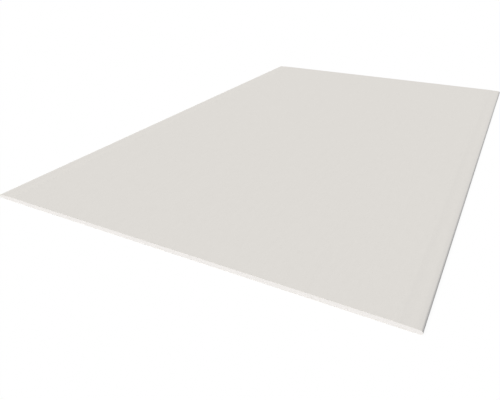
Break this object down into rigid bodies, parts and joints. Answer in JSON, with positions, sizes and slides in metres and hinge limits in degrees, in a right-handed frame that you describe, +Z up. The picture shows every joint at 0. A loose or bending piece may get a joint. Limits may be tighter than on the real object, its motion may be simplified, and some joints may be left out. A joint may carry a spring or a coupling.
{
  "type": "drywall sheet",
  "caption": "Flat rectangular gypsum drywall sheet with paper-wrapped, half-round tapered long edges and square-cut ends, for lining walls and ceilings.",
  "frame": {"origin": "centre of the sheet's back, on the floor", "axes": "+X across the width, from one long edge to the other; +Y along the length, from one cut end to the other; +Z up, out of the face that shows in a room"},
  "size_m": [1.25, 2, 0.0125],
  "materials": {
    "gypsum": "set gypsum, matt and finely pored where it is cut",
    "face_liner": "smooth pale grey board paper, matt",
    "back_liner": "unbleached recycled board paper, matt, with fibre flecks"
  },
  "bodies": {
    "root": {"gypsum_core": "gypsum", "face_paper": "face_liner", "back_paper": "back_liner"}
  },
  "joints": []
}
